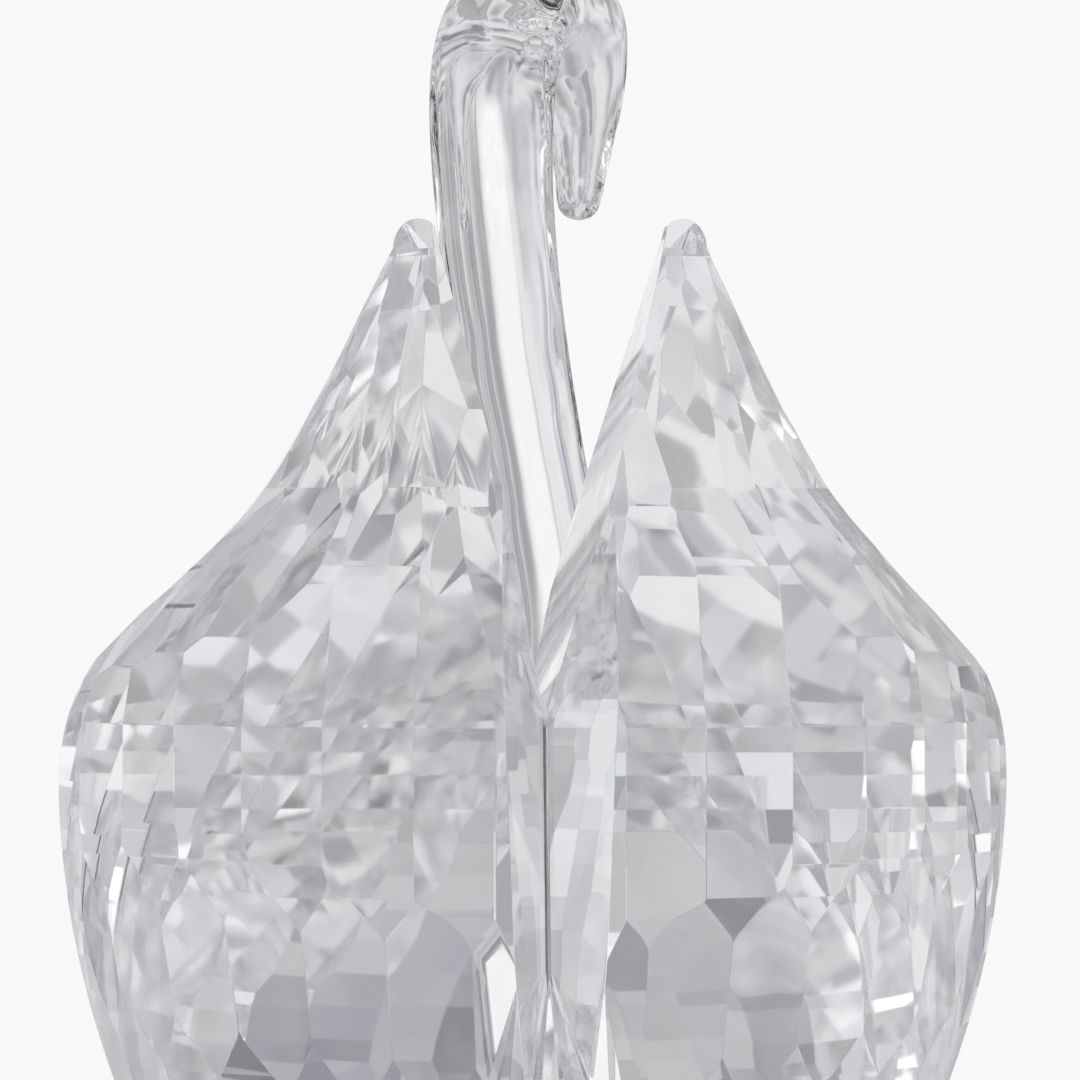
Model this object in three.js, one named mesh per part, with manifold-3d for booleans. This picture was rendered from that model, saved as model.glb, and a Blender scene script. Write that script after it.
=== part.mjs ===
// A crystal swan: two cut wings bonded along the spine, a cut breast and tail
// wedged between them, and one moulded neck and head. Millimetres, +Z up.
// The swan faces -Y and its left side is +X. Depth is counted forward from the
// rear edge of the wings, so a point at depth d lies at y = -d until the whole
// figure is centred over its base at the end.
import * as THREE from "three";
import { mergeVertices } from "three/addons/utils/BufferGeometryUtils.js";
import Module from "manifold-3d";

// ---- driving dimensions -------------------------------------------------

const WING_HEIGHT = 67.6; // base to wing tip
const TIP_X = 7.4; // centre of the rounded tip
const TIP_ROUND = 1.35; // half its width
const TIP_FROM = 66; // height where the rounding starts
const SHOULDER_Z = 44; // the flank is hollow above this level
const EQUATOR_Z = 39.4; // level facet edge all the way round

const BOND_FILM = 0.2; // cured adhesive
const BOND_AIR = 0.05; // clearance on each side of a film
const BOND_GAP = BOND_FILM + 2 * BOND_AIR; // crystal to crystal
const FILM_FOOT_Z = 0.6; // the film between the wings stops above the table

const TAIL_SPLAY = 0.212; // the tail seat opens this much per mm of depth
const TAIL_LEAN = 0.04; // and this much per mm of height
const TAIL_MEET = 12.5; // depth where it meets the inner face, at:
const TAIL_MEET_Z = 29;
const BREAST_SPLAY = 0.5; // the breast seat opens this much per mm of depth
const BREAST_MEET = 34; // depth where it meets the inner face
const NOTCH_SLOPE = 0.235; // half the notch opens this much per mm of height
const NOTCH_FOOT_Z = 39.5;

const BREAST_Z = 21; // centre of the egg that the breast is cut to
const BREAST_DEPTH = 38;
const BREAST_RADII = new THREE.Vector3(11.5, 19.5, 22);
const BREAST_FOOT_Z = 1.5; // the breast stands clear of the table
const BREAST_BLUNT = 1; // its sharp inner edge is ground back by this much
const NECK_SEAT_Z = 35;

const NECK_SEAT = new THREE.Vector2(-2.2, 46.8); // side and depth of the neck's foot
const NECK_TURN = THREE.MathUtils.degToRad(22); // the neck's plane, to the right
const NECK_LEAN = 0.044; // sideways per mm of height, to the left
const NECK_STEPS = 56;
const NECK_SIDES = 32;
const NECK_FLATS = 8; // soft sides on an otherwise round section
const NECK_FLATNESS = 0.015;
const NECK_ENDS = 1.5; // steps that close its two ends

const FLUTE_COUNT = 16; // round half of the figure
const FLUTE_TURN = Math.PI / FLUTE_COUNT;
const FACET_CUT = 0.22; // how far each facet is ground in
const RIM_CUT = 0.12; // and beside the smooth rim
const TIP_FACETS_TO = 64; // no facet meets the form above this level
const KEEL_ROUND = 14; // radius that the pleats beside the tail seat follow
const FAR = 90; // beyond every crystal
const WHEEL = 4 * FAR; // beyond every corner of a raw block
const UP = new THREE.Vector3(0, 0, 1);

// ---- materials ----------------------------------------------------------

const cutCrystal = new THREE.MeshStandardMaterial({
  color: 0xc9cbd0,
  roughness: 0.02,
  metalness: 0,
});
const mouldedCrystal = new THREE.MeshStandardMaterial({
  color: 0xd9dadd,
  roughness: 0.04,
  metalness: 0,
});
const adhesive = new THREE.MeshStandardMaterial({
  color: 0xe6e6e2,
  roughness: 0.15,
  metalness: 0,
});

// ---- solids -------------------------------------------------------------

const wasm = await Module();
wasm.setup();

function solidOf(geometry) {
  const bare = geometry.clone();
  bare.deleteAttribute("normal");
  bare.deleteAttribute("uv");
  const merged = mergeVertices(bare, 1e-4);
  return new wasm.Manifold(
    new wasm.Mesh({
      numProp: 3,
      vertProperties: new Float32Array(merged.attributes.position.array),
      triVerts: new Uint32Array(merged.index.array),
    }),
  );
}

function geometryOf(solid) {
  const mesh = solid.getMesh();
  const geometry = new THREE.BufferGeometry();
  const places = new THREE.BufferAttribute(mesh.vertProperties, mesh.numProp);
  geometry.setAttribute("position", places);
  geometry.setIndex(new THREE.BufferAttribute(mesh.triVerts, 1));
  const flat = geometry.toNonIndexed();
  flat.computeVertexNormals();
  return flat;
}

function cube(half) {
  return new THREE.BoxGeometry(2 * half, 2 * half, 2 * half);
}

// Grinds away everything beyond a plane: normal . p = offset.
function grind(solid, normal, offset) {
  const length = normal.length();
  const out = normal.clone().divideScalar(length);
  const wheel = cube(WHEEL);
  wheel.translate(0, 0, WHEEL);
  wheel.applyQuaternion(new THREE.Quaternion().setFromUnitVectors(UP, out));
  const foot = out.multiplyScalar(offset / length);
  wheel.translate(foot.x, foot.y, foot.z);
  return solid.subtract(solidOf(wheel));
}

// A seat is the plane x = at + perDepth * depth + perHeight * z on the left
// side. The outer side of it belongs to the wing.
const SEATS = {
  inner: { at: BOND_GAP / 2, perDepth: 0, perHeight: 0 },
  tail: {
    at: BOND_GAP / 2 + TAIL_SPLAY * TAIL_MEET - TAIL_LEAN * TAIL_MEET_Z,
    perDepth: -TAIL_SPLAY,
    perHeight: TAIL_LEAN,
  },
  breast: {
    at: BOND_GAP / 2 - BREAST_SPLAY * BREAST_MEET,
    perDepth: BREAST_SPLAY,
    perHeight: 0,
  },
  notch: { at: -NOTCH_SLOPE * NOTCH_FOOT_Z, perDepth: 0, perHeight: NOTCH_SLOPE },
};

// Keeps what lies outside the seat, or inside it when keep is "inside", after
// moving the plane inwards by a gap measured square to it.
function grindSeat(solid, seat, keep = "outside", gap = 0) {
  const normal = new THREE.Vector3(1, seat.perDepth, -seat.perHeight);
  const offset = seat.at - gap * normal.length();
  if (keep === "inside") return grind(solid, normal, offset);
  return grind(solid, normal.negate(), -offset);
}

// The mirror image of loose triangles, each one turned to face out again.
function mirrored(geometry) {
  const from = geometry.attributes.position;
  const places = new THREE.BufferAttribute(new Float32Array(from.count * 3), 3);
  for (let i = 0; i < from.count; i += 1) {
    const j = from.count - 1 - i;
    places.setXYZ(i, -from.getX(j), from.getY(j), from.getZ(j));
  }
  const other = new THREE.BufferGeometry();
  other.setAttribute("position", places);
  other.computeVertexNormals();
  return other;
}

// ---- the form that a wing is cut to -------------------------------------

// A smooth curve of a size against height, through [height, size] points.
function profile(points) {
  const last = points.length - 1;
  const slopeAt = (i) => {
    const [low, lowSize] = points[Math.max(0, i - 1)];
    const [high, highSize] = points[Math.min(last, i + 1)];
    return (highSize - lowSize) / (high - low);
  };
  return (z) => {
    const held = THREE.MathUtils.clamp(z, points[0][0], points[last][0]);
    let i = 0;
    while (i < last - 1 && held > points[i + 1][0]) i += 1;
    const span = points[i + 1][0] - points[i][0];
    const t = (held - points[i][0]) / span;
    const start = (1 + 2 * t) * (1 - t) ** 2 * points[i][1];
    const end = t * t * (3 - 2 * t) * points[i + 1][1];
    const leave = t * (1 - t) ** 2 * span * slopeAt(i);
    const arrive = t * t * (t - 1) * span * slopeAt(i + 1);
    return start + end + leave + arrive;
  };
}

// Half-width of the pair of wings: full below, hollow on the flank above.
const outerX = profile([
  [0, 10.3],
  [6, 17],
  [13, 21.6],
  [20, 24.5],
  [27, 26.35],
  [34, 27.2],
  [38.5, 27],
  [41.5, 26],
  [44, 24.3],
  [47.4, 20.6],
  [52, 16.25],
  [58, 12.7],
  [63.6, 9.95],
  [TIP_FROM, 8.75],
]);
const rearDepth = profile([
  [0, 16],
  [6, 9],
  [14, 4],
  [24, 1],
  [34, 0],
  [44, 0.6],
  [54, 3],
  [62, 6.2],
  [WING_HEIGHT, 9.2],
]);
const frontDepth = profile([
  [0, 40],
  [6, 46],
  [14, 50.5],
  [24, 52],
  [32, 49.5],
  [40, 43.5],
  [46, 38],
  [52, 31.8],
  [58, 24.4],
  [64, 16.2],
  [WING_HEIGHT, 11.4],
]);
// Depth of the widest place at each level.
const rimDepth = profile([
  [0, 28],
  [34, 28],
  [40, 25.5],
  [45, 20.5],
  [50, 16.5],
  [56, 13.4],
  [62, 11.3],
  [WING_HEIGHT, 10.3],
]);

// How far the form reaches at a level, in the direction that is turned from
// the rear (0) over the left (a quarter turn) to the front (a half turn).
function reachAt(z, turn) {
  const rear = Math.cos(turn);
  const rim = rimDepth(z);
  const radius = rear > 0 ? rim - rearDepth(z) : frontDepth(z) - rim;
  return Math.hypot(outerX(z) * Math.sin(turn), radius * rear) - rim * rear;
}

// ---- wings --------------------------------------------------------------

// A shape in reach and height, swept sideways and turned to its direction.
function fluteSolid(shape, turn) {
  const flute = new THREE.ExtrudeGeometry(shape, {
    depth: 2 * FAR,
    bevelEnabled: false,
    curveSegments: 12,
  });
  flute.translate(0, 0, -FAR);
  flute.rotateX(Math.PI / 2);
  flute.rotateZ(Math.PI / 2 - turn);
  return solidOf(flute);
}

// The rim keeps the smooth outline, with its rounded tip.
function rimShape() {
  const shape = new THREE.Shape();
  shape.moveTo(-FAR, 0);
  shape.lineTo(outerX(0), 0);
  for (let z = 1; z < TIP_FROM; z += 1) shape.lineTo(outerX(z), z);
  shape.absellipse(TIP_X, TIP_FROM, TIP_ROUND, WING_HEIGHT - TIP_FROM, 0, Math.PI);
  shape.lineTo(-FAR, TIP_FROM);
  return shape;
}

// Other flutes are cut in straight steps above the shoulder, and the steps of
// one flute fall between those of the next. The last one runs on to the tip.
const LAST_STEP_Z = 65.6;
const FLUTE_STEP = 8.6;
function fluteShape(turn, offset) {
  const shape = new THREE.Shape();
  shape.moveTo(-FAR, 0);
  for (let z = 0; z < SHOULDER_Z; z += 2) shape.lineTo(reachAt(z, turn), z);
  for (let z = SHOULDER_Z + offset; z < LAST_STEP_Z; z += FLUTE_STEP) {
    shape.lineTo(reachAt(z, turn), z);
  }
  shape.lineTo(reachAt(WING_HEIGHT, turn), WING_HEIGHT);
  shape.lineTo(-FAR, WING_HEIGHT);
  return shape;
}

// Rows of facets, by the tilt of their faces above the horizon in degrees.
// Behind the rim the rows beside the equator share its level edge; all others
// lie wherever their tilt just meets the form. The front has fewer and larger
// facets.
const REAR_ROWS = [
  { tilt: 10, atEquator: true },
  { tilt: 32, between: true },
  { tilt: 0, atEquator: true },
  { tilt: -11, between: true },
  { tilt: -27 },
  { tilt: -46, between: true },
];
const FRONT_ROWS = [
  { tilt: 18 },
  { tilt: 42, between: true },
  { tilt: -12, between: true },
  { tilt: -38 },
];
const FRONT_STEP = 2; // flutes to each facet of a front row

// The height at which a facet of this tilt meets the form, and how far out.
function furthest(rise, turn) {
  const best = { reach: -Infinity, z: 0 };
  for (let z = 0; z <= WING_HEIGHT; z += 0.5) {
    const reach = Math.cos(rise) * reachAt(z, turn) + Math.sin(rise) * z;
    if (reach > best.reach) Object.assign(best, { reach, z });
  }
  return best;
}

function facing(rise, turn) {
  return new THREE.Vector3(
    Math.sin(turn) * Math.cos(rise),
    Math.cos(turn) * Math.cos(rise),
    Math.sin(rise),
  );
}

function cutRow(solid, row, firstFlute, step) {
  const rise = THREE.MathUtils.degToRad(row.tilt);
  let cut = solid;
  for (let i = 0; i <= FLUTE_COUNT / 2; i += step) {
    const flute = firstFlute + i + (row.between ? step / 2 : 0);
    const fromRim = Math.abs(flute - FLUTE_COUNT / 2);
    if (fromRim < (row.atEquator ? 2 : 1)) continue;
    const turn = flute * FLUTE_TURN;
    const depth = fromRim < 2 ? RIM_CUT : FACET_CUT;
    const edge = new THREE.Vector2(reachAt(EQUATOR_Z, turn) - depth, EQUATOR_Z);
    const tangent = furthest(rise, turn);
    if (tangent.z > TIP_FACETS_TO) continue;
    const offset = row.atEquator
      ? edge.dot(new THREE.Vector2(Math.cos(rise), Math.sin(rise)))
      : tangent.reach - depth;
    cut = grind(cut, facing(rise, turn), offset);
  }
  return cut;
}

function cutFacets(solid) {
  let cut = solid;
  for (const row of REAR_ROWS) cut = cutRow(cut, row, 0, 1);
  for (const row of FRONT_ROWS) cut = cutRow(cut, row, FLUTE_COUNT / 2, FRONT_STEP);
  return cut;
}

// Long narrow pleats that roll the rear face in towards the tail seat.
const KEEL_TILTS = [0, 15, -14, -30];
const KEEL_TURNS = [5, 11, 18];

// The axis of the round that the pleats follow, at one level.
function keelAxis(z) {
  const { at, perDepth, perHeight } = SEATS.tail;
  const depth = rearDepth(z);
  const edge = at + perDepth * depth + perHeight * z;
  const widest = THREE.MathUtils.degToRad(Math.max(...KEEL_TURNS));
  return new THREE.Vector3(edge + KEEL_ROUND * Math.sin(widest), -depth - KEEL_ROUND, z);
}

function cutKeel(solid) {
  let cut = solid;
  for (const tilt of KEEL_TILTS) {
    const rise = THREE.MathUtils.degToRad(tilt);
    for (const degrees of KEEL_TURNS) {
      const normal = facing(rise, -THREE.MathUtils.degToRad(degrees));
      let reach = -Infinity;
      for (let z = 0; z <= WING_HEIGHT; z += 0.5) {
        reach = Math.max(reach, normal.dot(keelAxis(z)));
      }
      cut = grind(cut, normal, reach + KEEL_ROUND * Math.cos(rise));
    }
  }
  return cut;
}

// The whole left wing before its seats are ground.
function wingForm() {
  let form = fluteSolid(rimShape(), Math.PI / 2);
  for (let i = 0; i <= FLUTE_COUNT; i += 1) {
    if (i === FLUTE_COUNT / 2) continue;
    const offset = i % 2 ? FLUTE_STEP / 2 : FLUTE_STEP;
    const turn = i * FLUTE_TURN;
    form = form.intersect(fluteSolid(fluteShape(turn, offset), turn));
  }
  return cutFacets(form);
}

function wingSolid(form) {
  let wing = grindSeat(form, SEATS.inner);
  wing = cutKeel(grindSeat(wing, SEATS.tail));
  wing = grindSeat(wing, SEATS.breast);
  return grindSeat(wing, SEATS.notch);
}

// ---- breast -------------------------------------------------------------

const BREAST_ROWS = [-52, -34, -17, 0, 17, 33];
const BREAST_COLUMNS = 6; // from the side to the front
const BREAST_CUT = 0.2;

// The breast before its seats are ground: facets tangent to an egg.
function breastForm() {
  let form = solidOf(cube(FAR));
  const centre = new THREE.Vector3(0, -BREAST_DEPTH, BREAST_Z);
  BREAST_ROWS.forEach((tilt, row) => {
    const rise = THREE.MathUtils.degToRad(tilt);
    const step = Math.PI / 2 / BREAST_COLUMNS;
    const first = row % 2 ? 0 : step / 2;
    for (let turn = first; turn < Math.PI; turn += step) {
      const normal = new THREE.Vector3(
        Math.cos(turn) * Math.cos(rise),
        -Math.sin(turn) * Math.cos(rise),
        Math.sin(rise),
      );
      const reach = normal.clone().multiply(BREAST_RADII).length() - BREAST_CUT;
      form = grind(form, normal, normal.dot(centre) + reach);
      if (turn === 0) {
        const across = new THREE.Vector3(-1, 1, 1);
        const opposite = normal.clone().multiply(across);
        form = grind(form, opposite, opposite.dot(centre) + reach);
      }
    }
  });
  form = grind(form, new THREE.Vector3(0, 0, -1), -BREAST_FOOT_Z);
  form = grind(form, UP, NECK_SEAT_Z);
  return grind(form, new THREE.Vector3(0, 1, 0), -BREAST_MEET - BREAST_BLUNT);
}

// ---- tail ---------------------------------------------------------------

const TAIL_TOP = { depth: 0.4, z: 18.5, slope: 0.63 }; // roof, falling to the rear
const TAIL_ROOF_PITCH = 0.22; // each side of the roof falls from the middle
const TAIL_TIP_DEPTH = -5.5;
const TAIL_NOSE_SWEEP = 0.55; // each side of the tip runs back from the middle
const TAIL_UNDER = { depth: -5.5, z: 12.5, slope: -0.75 };
const TAIL_FOOT_Z = 3;

// The tail before its seats are ground: a wedge with a shallow roof.
function tailForm() {
  const { depth, z, slope } = TAIL_TOP;
  let form = solidOf(cube(FAR));
  for (const side of [-1, 1]) {
    const roof = new THREE.Vector3(side * TAIL_ROOF_PITCH, slope, 1);
    form = grind(form, roof, z - slope * depth);
    const nose = new THREE.Vector3(side * TAIL_NOSE_SWEEP, 1, 0);
    form = grind(form, nose, -TAIL_TIP_DEPTH);
  }
  const under = new THREE.Vector3(0, -TAIL_UNDER.slope, -1);
  form = grind(form, under, TAIL_UNDER.slope * TAIL_UNDER.depth - TAIL_UNDER.z);
  form = grind(form, new THREE.Vector3(0, 0, -1), -TAIL_FOOT_Z);
  return form;
}

// What is common to a solid and its mirror image.
function bothSides(half) {
  return half.intersect(solidOf(mirrored(geometryOf(half))));
}

// Grinds both flanks of a wedge to a seat, clear of it by a gap.
function wedgeSolid(form, seat) {
  return bothSides(grindSeat(form, seat, "inside", BOND_GAP));
}

// ---- adhesive -----------------------------------------------------------

// The film on the left flank of a wedge, flush with both crystals.
function seatFilm(wing, wedge, seat) {
  let film = grindSeat(wedge, seat, "inside", BOND_AIR);
  film = grindSeat(film, seat, "outside", BOND_AIR + BOND_FILM);
  return grindSeat(film, SEATS.inner).intersect(wing);
}

// The film between the inner faces of the wings, from tail to breast.
function wingFilm(form) {
  const plate = new THREE.BoxGeometry(BOND_FILM, 2 * FAR, 2 * FAR);
  plate.translate(0, 0, FAR + FILM_FOOT_Z);
  let film = form.intersect(solidOf(plate));
  for (const seat of [SEATS.tail, SEATS.breast, SEATS.notch]) {
    film = grindSeat(film, seat);
  }
  return bothSides(film);
}

// ---- neck and head ------------------------------------------------------

// [ahead, height, half-width, half-thickness] along the middle of the neck,
// measured ahead of its foot in the neck's own plane.
const NECK_STATIONS = [
  [0, NECK_SEAT_Z + BOND_GAP, 3.5, 3.5],
  [1.9, 41, 3.5, 3.7],
  [1.5, 47.5, 3.4, 3.5],
  [-0.5, 53.5, 3.3, 3.3],
  [-2.7, 59, 3.35, 3.2],
  [-4.6, 65, 3.45, 3.2],
  [-5.5, 71, 3.6, 3.2],
  [-4.7, 76.8, 3.8, 3.2],
  [-1.5, 80.6, 3.8, 3.2],
  [3.2, 82, 3.7, 3.2],
  [8.2, 80.9, 4.1, 3.9],
  [11.1, 77.4, 3.1, 3.1],
  [11.5, 73.4, 1.85, 1.8],
  [10.1, 69.1, 1.15, 1],
];

function neckGeometry() {
  const spine = NECK_STATIONS.map(([ahead, z]) => new THREE.Vector3(0, -ahead, z));
  const spans = NECK_STATIONS.map(([, , wide, thick]) => new THREE.Vector3(wide, thick, 0));
  const path = new THREE.CatmullRomCurve3(spine, false, "centripetal");
  const sizes = new THREE.CatmullRomCurve3(spans, false, "centripetal");
  const neck = new THREE.SphereGeometry(1, NECK_SIDES, NECK_STEPS);
  const places = neck.attributes.position;
  for (let i = 0; i < places.count; i += 1) {
    const row = Math.floor(i / (NECK_SIDES + 1));
    const along = THREE.MathUtils.clamp((row - 1) / (NECK_STEPS - NECK_ENDS), 0, 1);
    const closed = row === 0 || row === NECK_STEPS ? 0 : 1;
    const around = ((i % (NECK_SIDES + 1)) / NECK_SIDES) * -2 * Math.PI;
    const centre = path.getPoint(along);
    const size = sizes.getPoint(along);
    const ahead = row < 2 ? UP : path.getTangent(along);
    const outward = new THREE.Vector3(0, -ahead.z, ahead.y);
    const girth = closed * (1 - NECK_FLATNESS * Math.cos(NECK_FLATS * around));
    const point = centre.addScaledVector(outward, girth * size.y * Math.cos(around));
    point.x = girth * size.x * Math.sin(around);
    places.setXYZ(i, point.x, point.y, point.z);
  }
  return neck;
}

// Turns the neck's plane to the right, leans it to the left and sets it down
// on its seat.
function placeNeck(geometry) {
  geometry.rotateZ(-NECK_TURN);
  const lean = new THREE.Matrix4().makeShear(0, 0, 0, 0, NECK_LEAN, 0);
  geometry.translate(0, 0, -NECK_SEAT_Z);
  geometry.applyMatrix4(lean);
  geometry.translate(NECK_SEAT.x, -NECK_SEAT.y, NECK_SEAT_Z);
  return geometry;
}

function neckFilm() {
  const [, , wide, thick] = NECK_STATIONS[0];
  const film = new THREE.CylinderGeometry(1, 1, BOND_FILM, NECK_SIDES);
  film.rotateX(Math.PI / 2);
  film.scale(wide, thick, 1);
  film.translate(0, 0, NECK_SEAT_Z + BOND_GAP / 2);
  return placeNeck(film);
}

// ---- the figure ---------------------------------------------------------

const figure = new THREE.Group();

function addPiece(name, geometry, material) {
  const mesh = new THREE.Mesh(geometry, material.clone());
  mesh.name = name;
  figure.add(mesh);
}

function addPair(name, solid, material) {
  const geometry = geometryOf(solid);
  addPiece(`left_${name}`, geometry, material);
  addPiece(`right_${name}`, mirrored(geometry), material);
}

const form = wingForm();
const wing = wingSolid(form);
const breast = breastForm();
const tail = tailForm();

addPair("wing", wing, cutCrystal);
addPiece("breast", geometryOf(wedgeSolid(breast, SEATS.breast)), cutCrystal);
addPiece("tail", geometryOf(wedgeSolid(tail, SEATS.tail)), cutCrystal);
const neck = geometryOf(solidOf(placeNeck(neckGeometry())));
addPiece("neck_and_head", neck, mouldedCrystal);
addPiece("wing_bond", geometryOf(wingFilm(form)), adhesive);
addPair("breast_bond", seatFilm(form, breast, SEATS.breast), adhesive);
addPair("tail_bond", seatFilm(form, tail, SEATS.tail), adhesive);
addPiece("neck_bond", neckFilm(), adhesive);

const middle = new THREE.Box3().setFromObject(figure).getCenter(new THREE.Vector3());
figure.position.y = -middle.y;

export default figure;
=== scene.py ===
# A clear crystal swan: ground facets on the wings, breast and tail, and a
# smooth moulded neck and head, seen from behind against a pale studio.
import math

import bmesh
import bpy
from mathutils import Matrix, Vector


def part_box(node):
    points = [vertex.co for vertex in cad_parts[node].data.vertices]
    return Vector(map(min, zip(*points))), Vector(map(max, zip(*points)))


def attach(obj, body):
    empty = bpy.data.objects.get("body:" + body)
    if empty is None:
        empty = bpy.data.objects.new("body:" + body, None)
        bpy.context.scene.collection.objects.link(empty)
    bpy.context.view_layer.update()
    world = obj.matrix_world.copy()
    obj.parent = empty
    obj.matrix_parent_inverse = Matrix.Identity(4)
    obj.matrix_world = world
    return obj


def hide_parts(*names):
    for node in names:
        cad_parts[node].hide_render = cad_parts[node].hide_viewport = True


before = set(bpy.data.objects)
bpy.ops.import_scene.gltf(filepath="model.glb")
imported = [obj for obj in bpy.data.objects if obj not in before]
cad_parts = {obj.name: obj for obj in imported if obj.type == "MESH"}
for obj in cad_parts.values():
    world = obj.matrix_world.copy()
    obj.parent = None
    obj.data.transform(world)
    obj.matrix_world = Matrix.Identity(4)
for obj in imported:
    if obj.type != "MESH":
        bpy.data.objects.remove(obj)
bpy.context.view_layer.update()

MM = 0.001
WHITE = (1.0, 1.0, 1.0)

# ---- camera -------------------------------------------------------------

AZIMUTH = math.radians(176.5)
LENS = 300.0
SENSOR = 36.0
FAR_CLIP = 20.0
VIEW_WIDTH = 62.4 * MM  # seen across the frame at the swan
AIM_X = -0.55 * MM
AIM_AHEAD = 28.0 * MM  # of the rearmost point of the wings
AIM_BELOW = 17.9 * MM  # the wing tips
_, WING_HIGH = (Vector(corner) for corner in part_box("left_wing"))
AIM = Vector((AIM_X, WING_HIGH.y - AIM_AHEAD, WING_HIGH.z - AIM_BELOW))


def make_camera():
    data = bpy.data.cameras.new("camera")
    data.lens = LENS
    data.sensor_width = SENSOR
    data.clip_end = FAR_CLIP
    camera = bpy.data.objects.new("camera", data)
    bpy.context.collection.objects.link(camera)
    back = Vector((math.sin(AZIMUTH), -math.cos(AZIMUTH), 0.0))
    camera.location = AIM + back * (VIEW_WIDTH * LENS / SENSOR)
    camera.rotation_euler = back.to_track_quat("Z", "Y").to_euler()
    bpy.context.scene.camera = camera


# ---- node helpers -------------------------------------------------------


def new_tree(owner):
    owner.use_nodes = True
    tree = owner.node_tree
    tree.nodes.clear()
    return tree


def add(tree, kind, **values):
    node = tree.nodes.new(kind)
    for name, value in values.items():
        if name in node.inputs:
            node.inputs[name].default_value = value
        else:
            setattr(node, name, value)
    return node


def link(tree, source, target):
    tree.links.new(source, target)


def remap(tree, value, low, high):
    node = add(tree, "ShaderNodeMapRange")
    node.inputs["From Min"].default_value = low
    node.inputs["From Max"].default_value = high
    link(tree, value, node.inputs["Value"])
    return node.outputs["Result"]


def blend(tree, kind, factor, first, second):
    node = add(tree, "ShaderNodeMix", data_type="RGBA", blend_type=kind)
    for name, value in (("Factor", factor), ("A", first), ("B", second)):
        if isinstance(value, (float, tuple)):
            node.inputs[name].default_value = value
        else:
            link(tree, value, node.inputs[name])
    return node.outputs["Result"]


def multiply(tree, vector, factors):
    node = add(tree, "ShaderNodeVectorMath", operation="MULTIPLY")
    node.inputs[1].default_value = factors
    link(tree, vector, node.inputs[0])
    return node.outputs[0]


def noise_ramp(tree, place, scale, detail, stops):
    noise = add(tree, "ShaderNodeTexNoise", Scale=scale, Detail=detail)
    link(tree, place, noise.inputs["Vector"])
    ramp = add(tree, "ShaderNodeValToRGB")
    stripe = ramp.color_ramp.elements
    while len(stripe) < len(stops):
        stripe.new(0.5)
    for element, (position, colour) in zip(stripe, stops):
        element.position = position
        element.color = (*colour, 1.0)
    link(tree, noise.outputs["Fac"], ramp.inputs["Fac"])
    return ramp.outputs["Color"]


# ---- studio -------------------------------------------------------------

PALE = (0.94, 0.94, 0.94, 1.0)
FLAG = (0.66, 0.66, 0.68, 1.0)

# Noise scale, and the colours at heights of the noise.
CARD_SCALE = 4.4
CARDS = [(0.32, (0.36, 0.36, 0.38)), (0.46, (0.56, 0.56, 0.58)), (0.60, (0.77, 0.77, 0.78))]
UNDER_SCALE = 9.0
UNDER = [(0.36, (0.52, 0.52, 0.54)), (0.47, (0.68, 0.68, 0.70)), (0.56, (0.85, 0.85, 0.86))]
STRIP_SCALE = 7.0
STRIPS = [(0.40, (0.55, 0.55, 0.57)), (0.45, WHITE)]
STRIP_DRAW = (1.0, 1.0, 0.15)  # a small Z makes the strips long and upright
HUE_SCALE = 3.1
HUES = [(0.35, (1.0, 0.985, 0.955)), (0.65, (0.96, 0.975, 1.0))]
LAMP_SCALE = 9.0
LAMPS = [(0.50, (0.62, 0.62, 0.64)), (0.60, (1.20, 1.20, 1.20))]

# Where each part of the room starts and is complete, along one axis of the
# direction: up is +Z, the camera is toward +Y and the backdrop toward -Y.
UNDER_Z = (0.02, -0.12)
FLAG_X = (0.84, 0.94)
LAMP_Y = (0.55, 0.75)
BACKDROP_Y = (-0.976, -0.993)


def light_room(tree):
    direction = add(tree, "ShaderNodeTexCoord").outputs["Generated"]
    split = add(tree, "ShaderNodeSeparateXYZ")
    link(tree, direction, split.inputs[0])
    # White and grey cards round the swan, and brighter ones below it.
    cards = noise_ramp(tree, direction, CARD_SCALE, 1.0, CARDS)
    under = noise_ramp(tree, direction, UNDER_SCALE, 1.0, UNDER)
    below = remap(tree, split.outputs["Z"], *UNDER_Z)
    room = blend(tree, "MIX", below, cards, under)
    # Narrow upright strips of grey cloth draw dark lines down the neck.
    upright = multiply(tree, direction, STRIP_DRAW)
    strips = noise_ramp(tree, upright, STRIP_SCALE, 1.0, STRIPS)
    room = blend(tree, "MULTIPLY", 1.0, room, strips)
    # A flag on each side darkens the swan's edges.
    side = add(tree, "ShaderNodeMath", operation="ABSOLUTE")
    link(tree, split.outputs["X"], side.inputs[0])
    flagged = remap(tree, side.outputs[0], *FLAG_X)
    shade = blend(tree, "MIX", flagged, (*WHITE, 1.0), FLAG)
    room = blend(tree, "MULTIPLY", 1.0, room, shade)
    # The room is cream on some sides and pale blue on others.
    hue = noise_ramp(tree, direction, HUE_SCALE, 0.0, HUES)
    room = blend(tree, "MULTIPLY", 1.0, room, hue)
    # Small lamps behind the camera glint on the facets that face them.
    lamps = noise_ramp(tree, direction, LAMP_SCALE, 0.0, LAMPS)
    toward = remap(tree, split.outputs["Y"], *LAMP_Y)
    room = blend(tree, "MIX", toward, room, lamps)
    # The backdrop beyond the swan is bright.
    ahead = remap(tree, split.outputs["Y"], *BACKDROP_Y)
    return blend(tree, "MIX", ahead, room, PALE)


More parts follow.
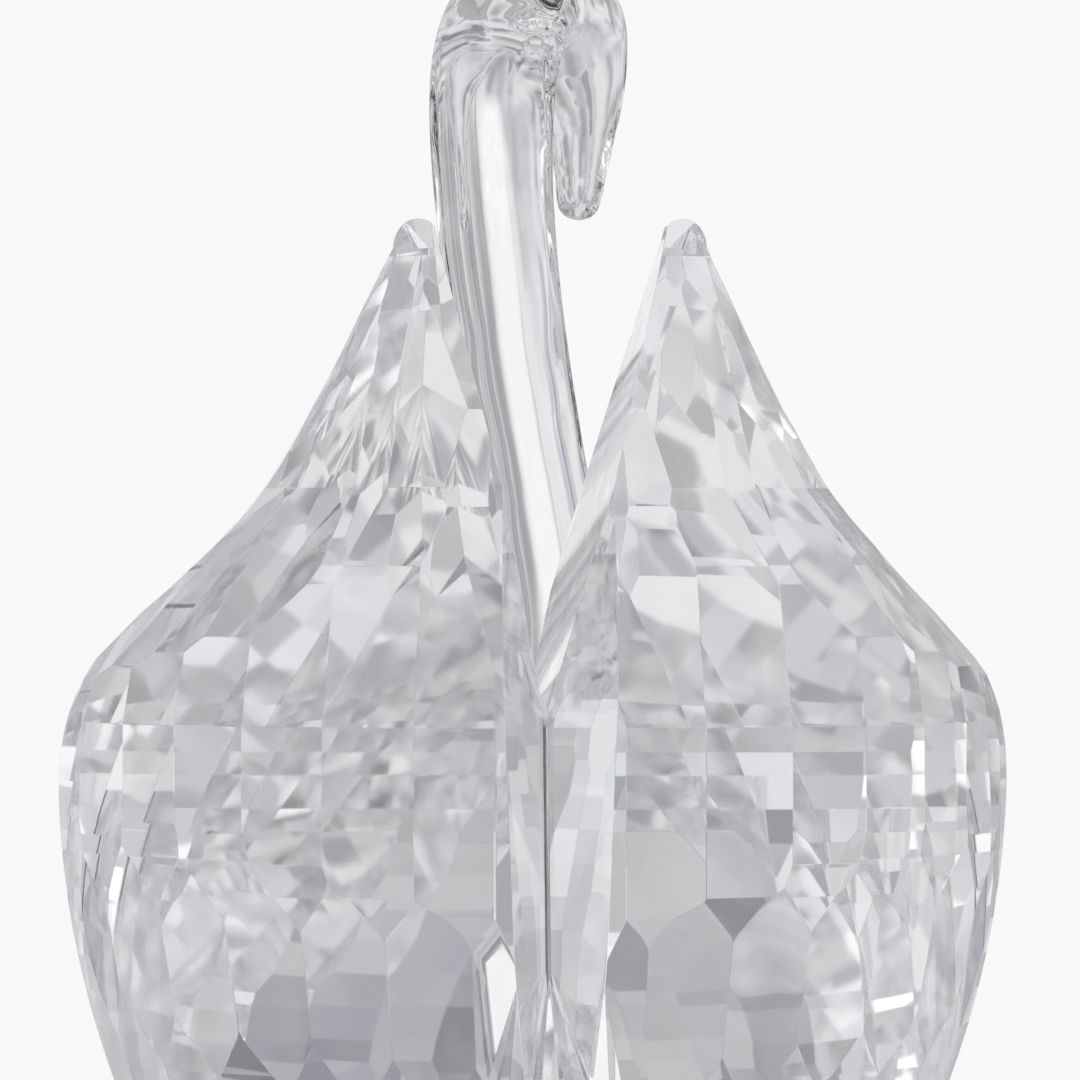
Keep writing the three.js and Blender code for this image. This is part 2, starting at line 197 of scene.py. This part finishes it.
def make_world():
    world = bpy.data.worlds.new("studio")
    bpy.context.scene.world = world
    tree = new_tree(world)
    surroundings = add(tree, "ShaderNodeBackground", Strength=1.0)
    link(tree, light_room(tree), surroundings.inputs["Color"])
    # The swan stands before a plain pale sheet.
    backdrop = add(tree, "ShaderNodeBackground", Color=PALE, Strength=1.0)
    seen = add(tree, "ShaderNodeLightPath")
    choose = add(tree, "ShaderNodeMixShader")
    link(tree, seen.outputs["Is Camera Ray"], choose.inputs["Fac"])
    link(tree, surroundings.outputs[0], choose.inputs[1])
    link(tree, backdrop.outputs[0], choose.inputs[2])
    out = add(tree, "ShaderNodeOutputWorld")
    link(tree, choose.outputs[0], out.inputs["Surface"])


FLOOR_RADIUS = 150.0 * MM
FLOOR_SIDES = 96
FLOOR_LEVEL = -0.2 * MM
FLOOR_CLOUDS = 40.0
FLOOR_DARK = (0.86, 0.86, 0.86, 1.0)
FLOOR_LIGHT = (0.90, 0.90, 0.90, 1.0)
FLOOR_ROUGH = 0.6
FLOOR_GLOW = 0.28


def make_floor():
    mesh = bpy.data.meshes.new("floor")
    bm = bmesh.new()
    bmesh.ops.create_circle(bm, cap_ends=True, segments=FLOOR_SIDES, radius=FLOOR_RADIUS)
    bm.to_mesh(mesh)
    bm.free()
    floor = bpy.data.objects.new("floor", mesh)
    floor.location.z = FLOOR_LEVEL
    bpy.context.collection.objects.link(floor)
    material = bpy.data.materials.new("pale_floor")
    tree = new_tree(material)
    noise = add(tree, "ShaderNodeTexNoise", Scale=FLOOR_CLOUDS, Detail=3.0)
    ramp = add(tree, "ShaderNodeValToRGB")
    ramp.color_ramp.elements[0].color = FLOOR_DARK
    ramp.color_ramp.elements[1].color = FLOOR_LIGHT
    link(tree, noise.outputs["Fac"], ramp.inputs["Fac"])
    shader = add(tree, "ShaderNodeBsdfPrincipled", Roughness=FLOOR_ROUGH)
    link(tree, ramp.outputs["Color"], shader.inputs["Base Color"])
    # The floor is an opal plate that is lit from below.
    shader.inputs["Emission Color"].default_value = (*WHITE, 1.0)
    shader.inputs["Emission Strength"].default_value = FLOOR_GLOW
    out = add(tree, "ShaderNodeOutputMaterial")
    link(tree, shader.outputs[0], out.inputs["Surface"])
    mesh.materials.append(material)
    # The plate is clear to what the crystal bends, which sees the room below.
    floor.visible_transmission = False


GLASS_BOUNCES = 32
GLOSSY_BOUNCES = 16


def set_render():
    scene = bpy.context.scene
    scene.view_settings.view_transform = "Standard"
    scene.cycles.max_bounces = GLASS_BOUNCES
    scene.cycles.transmission_bounces = GLASS_BOUNCES
    scene.cycles.glossy_bounces = GLOSSY_BOUNCES
    scene.cycles.caustics_refractive = True
    scene.cycles.caustics_reflective = True


# ---- materials ----------------------------------------------------------

TINT_SCALE = 90.0
TINT_LOW, TINT_HIGH = 0.35, 0.65
WEAR_SCALE = 160.0
WEAR_RANGE = (0.3, 0.7)
WAVE_SCALE = 260.0


def crystal(name, tint, ior, polish, ripple, stretch):
    material = bpy.data.materials.new(name)
    tree = new_tree(material)
    place = add(tree, "ShaderNodeTexCoord").outputs["Object"]
    stops = [(TINT_LOW, tint), (TINT_HIGH, WHITE)]
    colour = noise_ramp(tree, place, TINT_SCALE, 2.0, stops)
    # The polish is a little finer in some places than in others.
    wear = add(tree, "ShaderNodeTexNoise", Scale=WEAR_SCALE, Detail=3.0)
    link(tree, place, wear.inputs["Vector"])
    rough = remap(tree, wear.outputs["Fac"], *WEAR_RANGE)
    rough.node.inputs["To Min"].default_value = polish[0]
    rough.node.inputs["To Max"].default_value = polish[1]
    # Slow waves in the surface; a small stretch makes them longer up the swan.
    waves = add(tree, "ShaderNodeTexNoise", Scale=WAVE_SCALE, Detail=1.0)
    link(tree, multiply(tree, place, (1.0, 1.0, stretch)), waves.inputs["Vector"])
    bump = add(tree, "ShaderNodeBump", Strength=1.0, Distance=ripple)
    link(tree, waves.outputs["Fac"], bump.inputs["Height"])
    shader = add(tree, "ShaderNodeBsdfPrincipled", IOR=ior)
    shader.inputs["Transmission Weight"].default_value = 1.0
    link(tree, colour, shader.inputs["Base Color"])
    link(tree, rough, shader.inputs["Roughness"])
    link(tree, bump.outputs[0], shader.inputs["Normal"])
    out = add(tree, "ShaderNodeOutputMaterial")
    link(tree, shader.outputs[0], out.inputs["Surface"])
    return material


COOL = (0.97, 0.975, 0.99)
CLEAR = (0.98, 0.985, 0.99)
WARM = (0.97, 0.97, 0.96)
GLASS_IOR = 1.53
BOND_IOR = 1.5
CUT = crystal("cut_crystal", COOL, GLASS_IOR, (0.025, 0.05), 0.002 * MM, 1.0)
MOULDED = crystal("moulded_crystal", CLEAR, GLASS_IOR, (0.005, 0.035), 0.28 * MM, 0.35)
FILM = crystal("bond_film", WARM, BOND_IOR, (0.02, 0.08), 0.01 * MM, 1.0)

# ---- pieces -------------------------------------------------------------

WELD_WITHIN = 0.01 * MM
FLAT_WITHIN = math.radians(0.3)
EDGE_WIDTH = 0.02 * MM
EDGE_OVER = math.radians(4)

PAIR_TURN = math.radians(40)
PAIR_SHAPE = math.radians(60)
CREASE_OVER = math.radians(60)
FINE_LEVELS = 2

NECK_LOW, NECK_HIGH = (Vector(corner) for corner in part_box("neck_and_head"))
BILL_REACH = 6.0 * MM
BILL_FROM = NECK_LOW.y + BILL_REACH
BILL_LINES = (10.6 * MM, 13.5 * MM)  # below the crown
GROOVE_HALF = 0.55 * MM
GROOVE_DEPTH = 0.035 * MM


def dress(node, material):
    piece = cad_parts[node]
    piece.data.materials.clear()
    piece.data.materials.append(material)
    return piece


def soften(piece):
    # The wheel leaves a hair-fine polished edge between two facets.
    weld = piece.modifiers.new("weld", "WELD")
    weld.merge_threshold = WELD_WITHIN
    merge = piece.modifiers.new("merge", "DECIMATE")
    merge.decimate_type = "DISSOLVE"
    merge.angle_limit = FLAT_WITHIN
    edge = piece.modifiers.new("edge", "BEVEL")
    edge.width = EDGE_WIDTH
    edge.segments = 1
    edge.limit_method = "ANGLE"
    edge.angle_limit = EDGE_OVER
    edge.use_clamp_overlap = False


def groove(mesh, level):
    # A shallow ring round the bill, which is all that lies this far forward.
    ring = []
    for vertex in mesh.vertices:
        if vertex.co.y < BILL_FROM and abs(vertex.co.z - level) < GROOVE_HALF:
            ring.append(vertex)
    middle = sum((vertex.co for vertex in ring), Vector()) / len(ring)
    for vertex in ring:
        inward = middle - vertex.co
        inward.z = 0.0
        away = (vertex.co.z - level) / GROOVE_HALF
        vertex.co += inward.normalized() * GROOVE_DEPTH * (1.0 - away * away)


def neck_cage():
    # The neck's triangles joined in pairs, with its sharp rims creased.
    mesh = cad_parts["neck_and_head"].data.copy()
    bm = bmesh.new()
    bm.from_mesh(mesh)
    bmesh.ops.remove_doubles(bm, verts=bm.verts, dist=WELD_WITHIN)
    bmesh.ops.join_triangles(
        bm,
        faces=bm.faces,
        angle_face_threshold=PAIR_TURN,
        angle_shape_threshold=PAIR_SHAPE,
    )
    crease = bm.edges.layers.float.new("crease_edge")
    for edge in bm.edges:
        if len(edge.link_faces) == 2 and edge.calc_face_angle() > CREASE_OVER:
            edge[crease] = 1.0
    for face in bm.faces:
        face.smooth = True
    bm.to_mesh(mesh)
    bm.free()
    mesh.materials.clear()
    mesh.materials.append(MOULDED)
    return mesh


def smooth_neck():
    piece = bpy.data.objects.new("moulded_neck", neck_cage())
    bpy.context.collection.objects.link(piece)
    fine = piece.modifiers.new("fine", "SUBSURF")
    fine.levels = FINE_LEVELS
    fine.render_levels = FINE_LEVELS
    bpy.context.view_layer.update()
    graph = bpy.context.evaluated_depsgraph_get()
    piece.data = bpy.data.meshes.new_from_object(piece.evaluated_get(graph))
    piece.modifiers.clear()
    for depth in BILL_LINES:
        groove(piece.data, NECK_HIGH.z - depth)
    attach(piece, "root")
    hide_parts("neck_and_head")


make_camera()
make_world()
make_floor()
set_render()
for node in ("left_wing", "right_wing", "breast", "tail"):
    soften(dress(node, CUT))
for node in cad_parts:
    if node.endswith("bond"):
        dress(node, FILM)
smooth_neck()
